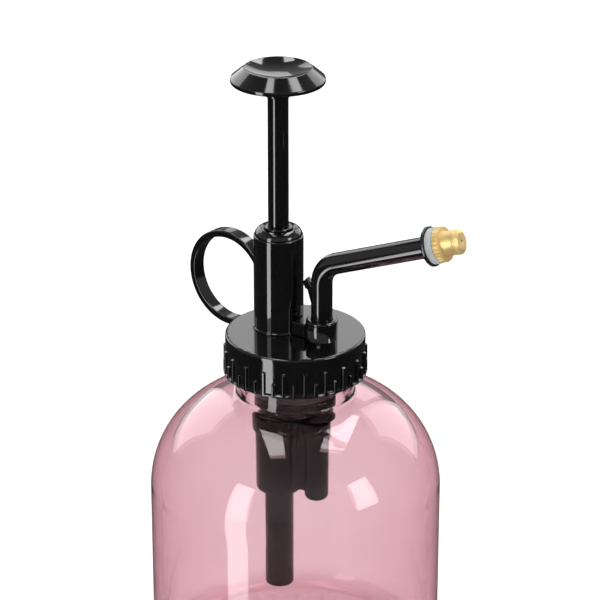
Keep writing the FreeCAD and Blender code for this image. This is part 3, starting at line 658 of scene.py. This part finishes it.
SWING = math.radians(180 - 12)
RING_CENTRE = 16.97
RING_LEVEL = 111.1
RING_OUTER, RING_INNER = 13.64, 11.74
RING_HALF = 2.0
RING_ROUND = 0.4
RING_ROOT, RING_TIP = 6.0, 14.6
RING_STEPS = 120
BARREL_TOP = 128.0
BARREL_RADIUS, BARREL_FOOT = 6.76, 6.2
BARREL_FLANGE = 7.05
BARREL_BORE = 5.2


def finger_ring():
    """A band of rounded section, from inside the barrel's wall round to its free end."""
    out = Vector((math.cos(SWING), math.sin(SWING), 0))
    side = Vector((-out.y, out.x, 0))
    section = softened(
        [
            (RING_INNER, -RING_HALF, RING_ROUND),
            (RING_OUTER, -RING_HALF, RING_ROUND),
            (RING_OUTER, RING_HALF, RING_ROUND),
            (RING_INNER, RING_HALF, RING_ROUND),
        ],
        steps=4,
        closed=True,
    )
    rows = []
    for step in range(RING_STEPS + 1):
        row = []
        for radius, width in section:
            begin = math.acos((RING_CENTRE - RING_ROOT) / radius)
            end = TAU - math.acos((RING_CENTRE - RING_TIP) / radius)
            angle = begin + (end - begin) * step / RING_STEPS
            reach = RING_CENTRE - radius * math.cos(angle)
            level = RING_LEVEL + radius * math.sin(angle)
            row.append(upright(BARREL, level) + out * reach + side * width)
        rows.append(row)
    return skinned("finger_ring", capped(rows), closed=False)


def make_barrel():
    line = softened(
        [
            (BARREL_BORE, 79.5, 0.15),
            (BARREL_FOOT, 79.5, 0.15),
            (BARREL_FOOT, CAP_TOP),
            (BARREL_FLANGE, CAP_TOP, 0.1),
            (BARREL_FLANGE, CAP_TOP + 0.4, 0.2),
            (BARREL_RADIUS, CAP_TOP + 0.6, 0.2),
            (BARREL_RADIUS, BARREL_TOP, 0.35),
            (5.7, BARREL_TOP, 0.1),
            (5.7, 121.5),
            (BARREL_BORE, 121.0),
        ],
        closed=True,
    )
    tube = turned("barrel_and_ring", line, upright(BARREL), closed=True, around=128)
    return crisp(joined(tube, finger_ring()))


stand_for(make_barrel(), "pump_barrel")


GLAND_BORE = 2.88
GLAND_COLLAR = (6.45, BARREL_TOP + 0.3)
GLAND_CROWN = (4.9, 130.05)
GLAND_TOP = 130.4
LIP_RADIUS, LIP_ROUND = 3.75, 0.35


def gland_line():
    """A nut with a domed shoulder, a groove inside it and a lip round the rod."""
    lip_high = GLAND_TOP - LIP_ROUND
    seat = [(GLAND_BORE, 125.2), (4.62, 125.2), (4.62, 123.2), (5.67, 123.2, 0.2)]
    line = softened(seat + [(5.67, BARREL_TOP), (GLAND_COLLAR[0], BARREL_TOP)])
    line += [Vector(GLAND_COLLAR)] + arc(GLAND_COLLAR, GLAND_CROWN, 2.4, 1, 12)
    groove = [(4.3, 129.3, 0.3), (3.85, 129.3, 0.3), (LIP_RADIUS, 130.0)]
    line += softened([GLAND_CROWN] + groove, steps=5)[1:] + [Vector((LIP_RADIUS, lip_high))]
    line += arc((LIP_RADIUS, lip_high), (LIP_RADIUS - LIP_ROUND, GLAND_TOP), LIP_ROUND, 1, 6)
    mouth = [(LIP_RADIUS - LIP_ROUND, GLAND_TOP), (GLAND_BORE, GLAND_TOP, 0.15)]
    return line + softened(mouth + [(GLAND_BORE, 125.2)])[1:-1]


gland = turned("gland_dome", gland_line(), upright(BARREL), closed=True)
stand_for(crisp(gland), "gland_nut")


# Plunger

ROD_RADIUS = 2.8
ROD_LOW, ROD_HIGH = low_of("plunger_rod").z, high_of("plunger_rod").z
KNOB_LOW = low_of("plunger_knob").z

rod_line = [(0, ROD_LOW), (ROD_RADIUS, ROD_LOW, 0.4)]
rod_line += [(ROD_RADIUS, ROD_HIGH, 0.4), (0, ROD_HIGH)]
stand_for(crisp(turned("rod_shaft", softened(rod_line), upright(BARREL))), "plunger_rod")


DISH_RADIUS = 19.0
DISH_EDGE, DISH_MIDDLE = (8.7, 7.75), (0, 6.0)


def knob_line():
    """A shallow dish, a rolled rim, a sloping underside and a hub that takes the rod."""
    line = [Vector(DISH_MIDDLE)]
    line += reversed(arc(DISH_EDGE, DISH_MIDDLE, DISH_RADIUS, -1, 16)[:-1])
    line += softened(
        [
            DISH_EDGE,
            (9.02, 7.93, 0.32),
            (12.62, 4.92, 0.5),
            (12.62, 3.86, 0.42),
            (3.55, 2.7, 0.5),
            (3.55, 0, 0.55),
            (2.82, 0, 0.1),
            (2.82, 4.8),
            (0, 4.8),
        ],
        steps=5,
    )
    return line


stand_for(
    crisp(turned("mushroom_knob", knob_line(), upright(BARREL, KNOB_LOW), around=128)),
    "plunger_knob",
)


# Housing under the cap, with the arm's socket, and the chamber below it


def lobed_ring(level, shapes, around=192):
    """The outline round a drum, a lobe and the web between them, all at one level."""
    (a, a_radius), (b, b_radius), half = shapes
    centre = (a + b) / 2
    along = (b - a).normalized()
    side = Vector((-along.y, along.x))
    reach_a, reach_b = (a - centre).dot(along), (b - centre).dot(along)
    row = []
    for i in range(around):
        angle = TAU * i / around
        ray = along * math.cos(angle) + side * math.sin(angle)
        best = 0.0
        for disc, radius in ((a, a_radius), (b, b_radius)):
            away = disc - centre
            middle = away.dot(ray)
            under = radius**2 - (away.length_squared - middle**2)
            if under > 0:
                best = max(best, middle + math.sqrt(under))
        across = abs(math.sin(angle))
        edge = half / across if across > TINY else math.inf
        if reach_a <= edge * math.cos(angle) <= reach_b:
            best = max(best, edge)
        spot = centre + ray * best
        row.append(Vector((spot.x, spot.y, level)))
    return row


def lobed(name, drum, lobe, half, low, high, low_round, high_round):
    """A figure-8 block with rounded edges. drum and lobe are each (middle, radius)."""
    bends = [math.pi / 2 * step / 5 for step in range(6)]
    rows = [(low + low_round * (1 - math.cos(t)), low_round * (1 - math.sin(t))) for t in bends]
    rows += [(high - high_round * (1 - math.sin(t)), high_round * (1 - math.cos(t))) for t in bends]
    rings = [
        lobed_ring(level, ((drum[0], drum[1] - inset), (lobe[0], lobe[1] - inset), half - inset))
        for level, inset in rows
    ]
    middle = (drum[0] + lobe[0]) / 2
    rings.insert(0, [upright(middle, low)])
    rings.append([upright(middle, high)])
    return skinned(name, rings, closed=False)


def slab(name, start, stop, half, low, high):
    """An upright block from one middle to another, 2 * half thick."""
    corners = [(start.x, -half), (stop.x, -half), (stop.x, half), (start.x, half)]
    middles = (start.y, stop.y, stop.y, start.y)
    outline = [Vector((x, y + offset, low)) for (x, offset), y in zip(corners, middles)]
    return prism(name, outline, UP * (high - low))


SOCKET_RADIUS, SOCKET_BORE = 4.3, 2.95
LOBE_RADIUS = 3.6
FLANGE_RADIUS = 13.2
BRIDGE_HALF = 3.0


def make_housing():
    low, high = low_of("pump_housing").z, CAP_TOP - CAP_PLATE - 0.01
    drum, lobe = (BARREL, 7.2), (SOCKET, LOBE_RADIUS)
    body = lobed("housing_and_socket", drum, lobe, 3.4, low, high - 0.6, 0.5, 0.1)
    flange = [(0, high - 1.25), (FLANGE_RADIUS, high - 1.25, 0.2), (FLANGE_RADIUS, high, 0.2)]
    joined(body, turned("flange", softened(flange + [(0, high)]), ORIGIN))
    joined(body, rod("core", SOCKET, SOCKET_BORE, 92.0, high + 1), "DIFFERENCE")
    top = high_of("pump_housing").z
    tube = [(SOCKET_BORE, high - 1.5), (SOCKET_RADIUS, high - 1.5)]
    tube += [(SOCKET_RADIUS, top, 0.6), (SOCKET_BORE, top, 0.3)]
    joined(body, turned("socket", softened(tube, closed=True), upright(SOCKET), closed=True))
    end = SOCKET - Vector((LOBE_RADIUS, 0))
    bridge = slab("bridge", BARREL, end, BRIDGE_HALF, CAP_TOP + 0.02, CAP_TOP + 4)
    room = rod("room", BARREL, BARREL_FLANGE + 0.05, CAP_TOP - 1, CAP_TOP + 6, around=96)
    joined(settled(crisp(bridge, 0.4)), room, "DIFFERENCE")
    joined(body, bridge)
    joined(body, rod("seat", BARREL, BARREL_HOLE, low - 1, high + 1, around=96), "DIFFERENCE")
    return crisp(body)


stand_for(make_housing(), "pump_housing")


CHAMBER_RADIUS, CHAMBER_SPIGOT = 6.4, 6.15
CHANNEL_RADIUS, CHANNEL_SPIGOT, CHANNEL_BORE = 3.3, 2.68, 1.95
TUBE_RADIUS = 4.02
SPIGOT_LOW, SPIGOT_HIGH = 72.0, 79.3
WEB_HALF = 2.6


def make_chamber():
    low = low_of("pump_chamber").z
    drum, lobe = (BARREL, 7.15), (OUTLET, 3.7)
    collar = lobed("chamber_and_channel", drum, lobe, 3.4, 70.3, 75.3, 0.45, 0.35)
    tube = [(TUBE_RADIUS, low), (CHAMBER_RADIUS, low, 1.5), (CHAMBER_RADIUS, SPIGOT_LOW)]
    tube += [(CHAMBER_SPIGOT, SPIGOT_LOW), (CHAMBER_SPIGOT, SPIGOT_HIGH, 0.2)]
    tube = softened(tube + [(TUBE_RADIUS, SPIGOT_HIGH)], steps=6, closed=True)
    joined(collar, turned("chamber", tube, upright(BARREL), closed=True))
    joined(collar, rod("chamber_bore", BARREL, BARREL_BORE, 60.0, 80.0), "DIFFERENCE")
    web = slab("web", BARREL, OUTLET, WEB_HALF, 54.6, 71.6)
    joined(web, rod("room", BARREL, 5.8, 50.0, 80.0), "DIFFERENCE")
    joined(collar, web)
    channel = [(0, low), (CHANNEL_RADIUS, low, 2.4), (CHANNEL_RADIUS, SPIGOT_LOW)]
    channel += [(CHANNEL_SPIGOT, SPIGOT_LOW), (CHANNEL_SPIGOT, SPIGOT_HIGH), (0, SPIGOT_HIGH)]
    joined(collar, turned("channel", softened(channel, steps=8), upright(OUTLET)))
    joined(collar, rod("channel_bore", OUTLET, CHANNEL_BORE, 64.3, 80.0), "DIFFERENCE")
    return crisp(collar, 0.25)


stand_for(make_chamber(), "pump_chamber")

DIP_LOW, DIP_HIGH = low_of("dip_tube").z, high_of("dip_tube").z
dip_line = [(2.6, DIP_LOW, 0.3), (4.0, DIP_LOW, 0.6), (4.0, DIP_HIGH), (2.6, DIP_HIGH)]
stand_for(
    crisp(turned("suction_tube", softened(dip_line, closed=True), upright(BARREL), closed=True)),
    "dip_tube",
)


# Spray arm: one skin up the riser, round the elbow, along the run and over the end flange

ARM_RADIUS = 2.9
ARM_REACH = 34.7
ARM_BEND = 6.8
ARM_LOW = low_of("spray_arm").z
ARM_RISE = math.asin(ARM_AXIS.z)
ARM_CORNER = ARM_END - ARM_AXIS * ARM_REACH
ARM_TANGENT = ARM_BEND * math.tan((math.pi / 2 - ARM_RISE) / 2)
ELBOW_START = ARM_CORNER.z - ARM_TANGENT - ARM_LOW
ELBOW_LENGTH = ARM_BEND * (math.pi / 2 - ARM_RISE)
ARM_LENGTH = ELBOW_START + ELBOW_LENGTH + ARM_REACH - ARM_TANGENT
ARM_SIDES = 96
ARM_FLANGE, ARM_FLANGE_THICKNESS = 5.35, 0.8
PORT_RADIUS, PORT_DEPTH = 2.0, 7.0
HOOK_ROOT = 2.3
HOOK_HALF = 0.9
HOOK_SLANT = 0.1


def on_arm(distance):
    """The arm's centre and direction at a distance along it."""
    foot = upright(SOCKET, ARM_LOW)
    if distance <= ELBOW_START:
        return foot + UP * distance, UP
    bend = min(distance - ELBOW_START, ELBOW_LENGTH) / ARM_BEND
    centre = foot + Vector((ARM_BEND, 0, ELBOW_START))
    spot = centre + Vector((-math.cos(bend), 0, math.sin(bend))) * ARM_BEND
    heading = Vector((math.sin(bend), 0, math.cos(bend)))
    past = max(0.0, distance - ELBOW_START - ELBOW_LENGTH)
    return spot + heading * past, heading


def make_hook():
    """The small hook at the back of the riser. Its corners are (out from the root, height)."""
    root = SOCKET.x - HOOK_ROOT
    outline = [(0, 108.8), (0, 115.1), (1.95, 117.8), (3.35, 116.3), (2.45, 114.5), (1.85, 114.5)]
    side = [Vector((root - out, out * HOOK_SLANT - HOOK_HALF, high)) for out, high in outline]
    hook = prism("hook", side, Vector((0, 2 * HOOK_HALF, 0)))
    return settled(crisp(hook, 0.2, segments=2))


def make_arm():
    """The arm is skinned over (radius, distance along it) points, from its foot to its port."""
    foot = softened([(0, 0), (ARM_RADIUS, 0, 0.4), (ARM_RADIUS, 0.8)])[:-1]
    riser = [(ARM_RADIUS, s) for s in ladder(0.8, ELBOW_START, 6.0)]
    elbow = [(ARM_RADIUS, ELBOW_START + ELBOW_LENGTH * i / 28) for i in range(1, 28)]
    back = ARM_LENGTH - ARM_FLANGE_THICKNESS
    run = [(ARM_RADIUS, s) for s in ladder(ELBOW_START + ELBOW_LENGTH, back - 1.0, 6.0)]
    flange = [(ARM_RADIUS, back - 0.8), (ARM_RADIUS, back, 0.35)]
    flange += [(ARM_FLANGE, back, 0.2), (ARM_FLANGE, ARM_LENGTH, 0.2)]
    floor = ARM_LENGTH - PORT_DEPTH
    port = [(PORT_RADIUS, ARM_LENGTH, 0.15), (PORT_RADIUS, floor), (0, floor)]
    turns = [TAU * i / ARM_SIDES for i in range(ARM_SIDES)]
    side = Vector((0, 1, 0))
    rows = []
    for radius, distance in foot + riser + elbow + run + softened(flange + port):
        centre, heading = on_arm(distance)
        if radius < TINY:
            rows.append([centre])
            continue
        out = side.cross(heading)
        rows.append([centre + (out * math.cos(t) + side * math.sin(t)) * radius for t in turns])
    return crisp(joined(skinned("elbow_arm", rows, closed=False), make_hook()))


stand_for(make_arm(), "spray_arm")


# Nozzle: milky washer, knurled body and tip, all about the arm's axis

WASHER_RADIUS, WASHER_BORE = 4.85, 2.05
washer_line = [(WASHER_BORE, 0, 0.1), (WASHER_RADIUS, 0, 0.35)]
washer_line += [(WASHER_RADIUS, WASHER_THICKNESS, 0.35), (WASHER_BORE, WASHER_THICKNESS, 0.1)]
washer_line = softened(washer_line, closed=True)
washer = turned("milky_washer", washer_line, ARM_END, ARM_AXIS, closed=True)
stand_for(crisp(washer), "nozzle_washer")

KNURL_GROOVES = 24
KNURL_RADIUS = 4.75
KNURL_DEPTH = 0.36
KNURL_FLOOR, KNURL_FLANK = 0.08, 0.26
SHANK_RADIUS = 1.95
TIP_FOOT = 4.6


def knurled(angle, radius, height):
    """The nozzle's flange with its even grooves."""
    if radius < 4.3 or not 2.0 < height < 3.95:
        return radius
    turn = angle / TAU * KNURL_GROOVES
    away = abs(turn - round(turn)) * TAU / KNURL_GROOVES * KNURL_RADIUS
    groove = 1 - smooth_step((away - KNURL_FLOOR) / KNURL_FLANK)
    return min(radius, KNURL_RADIUS - KNURL_DEPTH * groove)


body_line = softened(
    [
        (1.2, -6.0),
        (SHANK_RADIUS, -6.0, 0.3),
        (SHANK_RADIUS, WASHER_THICKNESS),
        (KNURL_RADIUS, WASHER_THICKNESS, 0.3),
        (KNURL_RADIUS, 3.85, 0.3),
        (3.3, 3.85, 0.15),
        (3.3, 7.3, 0.12),
        (2.2, 7.3),
        (2.2, TIP_FOOT),
        (1.2, TIP_FOOT),
    ],
    closed=True,
)
body_around = KNURL_GROOVES * 14
body = turned(
    "knurled_nozzle", body_line, ARM_END, ARM_AXIS, closed=True, around=body_around, shape=knurled
)
stand_for(crisp(body), "nozzle_body")

ORIFICE_RADIUS = 0.35
tip_line = softened(
    [
        (0.9, TIP_FOOT),
        (2.18, TIP_FOOT),
        (2.18, 7.3),
        (3.45, 7.3, 0.12),
        (3.45, 8.1, 0.2),
        (2.3, 8.8, 0.2),
        (ORIFICE_RADIUS, 8.8, 0.08),
        (ORIFICE_RADIUS, 7.9),
        (0.9, 7.9),
    ],
    closed=True,
)
tip = turned("nozzle_orifice", tip_line, ARM_END, ARM_AXIS, closed=True)
stand_for(crisp(tip), "nozzle_tip")


# Springs

COIL_STEPS = 32
WIRE_SIDES = 10


def make_spring(name, node, wire, turns):
    """A coil of round wire that stands for a node."""
    low, high = low_of(node), high_of(node)
    centre = (low + high) / 2
    ring = (high.x - low.x) / 2 - wire
    climb = high.z - low.z - 2 * wire
    steps = turns * COIL_STEPS
    slope = climb / (turns * TAU * ring)
    sides = [i / WIRE_SIDES * TAU for i in range(WIRE_SIDES)]
    rows = []
    for i in range(steps + 1):
        turn = i / COIL_STEPS * TAU
        out = Vector((math.cos(turn), math.sin(turn), 0))
        across = Vector((-math.sin(turn), math.cos(turn), slope)).normalized().cross(out)
        spot = upright(centre, low.z + wire + climb * i / steps) + out * ring
        rows.append([spot + (out * math.cos(t) + across * math.sin(t)) * wire for t in sides])
    coil = stand_for(crisp(skinned(name, capped(rows), closed=False)), node)
    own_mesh(coil)


make_spring("return_coil", "return_spring", 0.4, 12)
make_spring("outlet_coil", "outlet_spring", 0.2, 8)


# CAD nodes that stay get the same finishes

for node, thing in frame["nodes"].items():
    finish = FINISHES[SLOTS[node]]
    for index in range(len(thing.data.materials)):
        thing.data.materials[index] = finish


# Floor, light and camera

SCENE = bpy.context.scene
SCENE.view_settings.view_transform = "Standard"


FLOOR_HALF = 2500 * MM


def make_floor():
    mesh = bpy.data.meshes.new("floor")
    corners = [(x * FLOOR_HALF, y * FLOOR_HALF, 0) for x, y in ((-1, -1), (1, -1), (1, 1), (-1, 1))]
    mesh.from_pydata(corners, [], [(0, 1, 2, 3)])
    floor = bpy.data.objects.new("floor", mesh)
    SCENE.collection.objects.link(floor)
    finish = Finish("pale_floor")
    finish.colours(finish.noise(60.0), (0.3, (0.88, 0.88, 0.88)), (0.7, (0.91, 0.91, 0.91)))
    finish.set(Roughness=0.9, Specular_IOR_Level=0.0)
    mesh.materials.append(finish.material)
    floor.visible_glossy = False


# The world's brightness against height: 0 is straight down, 0.5 is level and 1 is straight up
WORLD_STOPS = ((0.0, 0.02), (0.495, 0.02), (0.52, 0.2), (0.78, 0.2), (0.9, 0.1), (1.0, 0.06))
WORLD_STRENGTH = 2.0


def make_world():
    """Soft pale light from all round above the floor, weaker overhead."""
    world = bpy.data.worlds.new("studio")
    SCENE.world = world
    world.use_nodes = True
    tree = world.node_tree
    tree.nodes.clear()
    output = tree.nodes.new("ShaderNodeOutputWorld")
    background = tree.nodes.new("ShaderNodeBackground")
    place = tree.nodes.new("ShaderNodeTexCoord")
    split = tree.nodes.new("ShaderNodeSeparateXYZ")
    ramp = tree.nodes.new("ShaderNodeValToRGB")
    scale = tree.nodes.new("ShaderNodeMapRange")
    scale.inputs["From Min"].default_value = -1.0
    scale.inputs["From Max"].default_value = 1.0
    tree.links.new(place.outputs["Generated"], split.inputs["Vector"])
    tree.links.new(split.outputs["Z"], scale.inputs["Value"])
    tree.links.new(scale.outputs["Result"], ramp.inputs["Fac"])
    while len(ramp.color_ramp.elements) < len(WORLD_STOPS):
        ramp.color_ramp.elements.new(1.0)
    for element, (position, level) in zip(ramp.color_ramp.elements, WORLD_STOPS):
        element.position = position
        element.color = (level, level, level * 1.02, 1.0)
    tree.links.new(ramp.outputs["Color"], background.inputs["Color"])
    background.inputs["Strength"].default_value = WORLD_STRENGTH
    tree.links.new(background.outputs["Background"], output.inputs["Surface"])


VIEW_AZIMUTH = math.radians(28.0)
VIEW_ELEVATION = math.radians(23.42)
CAMERA_AIM = Vector((0, 0, CAP_TOP))
CAMERA_SIDE, CAMERA_UP, CAMERA_BACK = 1.26, 8.54, 771.0
CAMERA_LENS = 170.8

right = Vector((math.cos(VIEW_AZIMUTH), math.sin(VIEW_AZIMUTH), 0))
level_back = Vector((math.sin(VIEW_AZIMUTH), -math.cos(VIEW_AZIMUTH), 0))
back = level_back * math.cos(VIEW_ELEVATION) + UP * math.sin(VIEW_ELEVATION)
up = back.cross(right)


def in_row(spot):
    """A place in (right, towards the camera, up), in the row frame."""
    return right * spot[0] + level_back * spot[1] + UP * spot[2]


def lamp(name, place, facing, across, width, height, strength):
    """A soft panel at a place in (right, towards the camera, up), unseen by the camera."""
    light = bpy.data.lights.new(name, "AREA")
    light.shape = "RECTANGLE"
    light.size = width * MM
    light.size_y = height * MM
    light.energy = strength * light.size * light.size_y * math.pi
    thing = bpy.data.objects.new(name, light)
    SCENE.collection.objects.link(thing)
    out, side = in_row(facing).normalized(), in_row(across).normalized()
    turn = Matrix([[side[i], out.cross(side)[i], out[i]] for i in range(3)]).to_4x4()
    thing.matrix_world = Matrix.Translation(in_row(place) * MM) @ turn
    thing.visible_camera = False
    return thing


def upright_lamp(name, turn, distance, low, high, width, strength):
    """An upright panel at a turn from the camera, to its right if positive, facing the object."""
    angle = math.radians(turn)
    out = Vector((math.sin(angle), math.cos(angle), 0))
    place = (out.x * distance, out.y * distance, (low + high) / 2)
    across = (out.y, -out.x, 0)
    return lamp(name, place, out, across, width, high - low, strength)


def overhead_lamp(name, side, front, rear, width, strength):
    """A level panel a metre above the knob, running from front to rear."""
    place = (side, (front + rear) / 2, OVERHEAD_LEVEL)
    return lamp(name, place, UP, (1, 0, 0), width, front - rear, strength)


OVERHEAD_LEVEL = 1170

# Upright panels: turn, distance, low, high, width and strength
UPRIGHT_LAMPS = {
    "left_panel": (-45.5, 1000, -700, 730, 300, 6.5),
    "right_panel": (58, 1000, 170, 730, 330, 6.5),
    "back_wall": (172, 1200, 330, 760, 560, 1.5),
    "left_wall": (-144, 1100, 150, 1000, 800, 2.1),
    "right_wall": (138, 1100, 150, 1000, 700, 2.1),
}
# Level panels: side, front, rear, width and strength
OVERHEAD_LAMPS = {
    "left_overhead": (-220, 250, -700, 200, 6.5),
    "right_overhead": (440, 80, -1000, 320, 6.5),
}
FILL_PLACE = (0, -300, 1900)
FILL_SIZE = 2400
FILL_STRENGTH = 0.5


def make_lights():
    for name, sizes in UPRIGHT_LAMPS.items():
        upright_lamp(name, *sizes)
    for name, sizes in OVERHEAD_LAMPS.items():
        overhead_lamp(name, *sizes)
    fill = lamp("fill", FILL_PLACE, UP, (1, 0, 0), FILL_SIZE, FILL_SIZE, FILL_STRENGTH)
    fill.visible_glossy = False
    fill.visible_transmission = False


def make_camera():
    lens = bpy.data.cameras.new("camera")
    lens.lens = CAMERA_LENS
    lens.sensor_width = 36.0
    lens.clip_start, lens.clip_end = 0.01, 20.0
    camera = bpy.data.objects.new("camera", lens)
    SCENE.collection.objects.link(camera)
    spot = CAMERA_AIM + right * CAMERA_SIDE + up * CAMERA_UP + back * CAMERA_BACK
    camera.matrix_world = Matrix.Translation(spot * MM) @ Matrix(
        [[right[i], up[i], back[i]] for i in range(3)]
    ).to_4x4()
    SCENE.camera = camera


make_floor()
make_world()
make_lights()
make_camera()
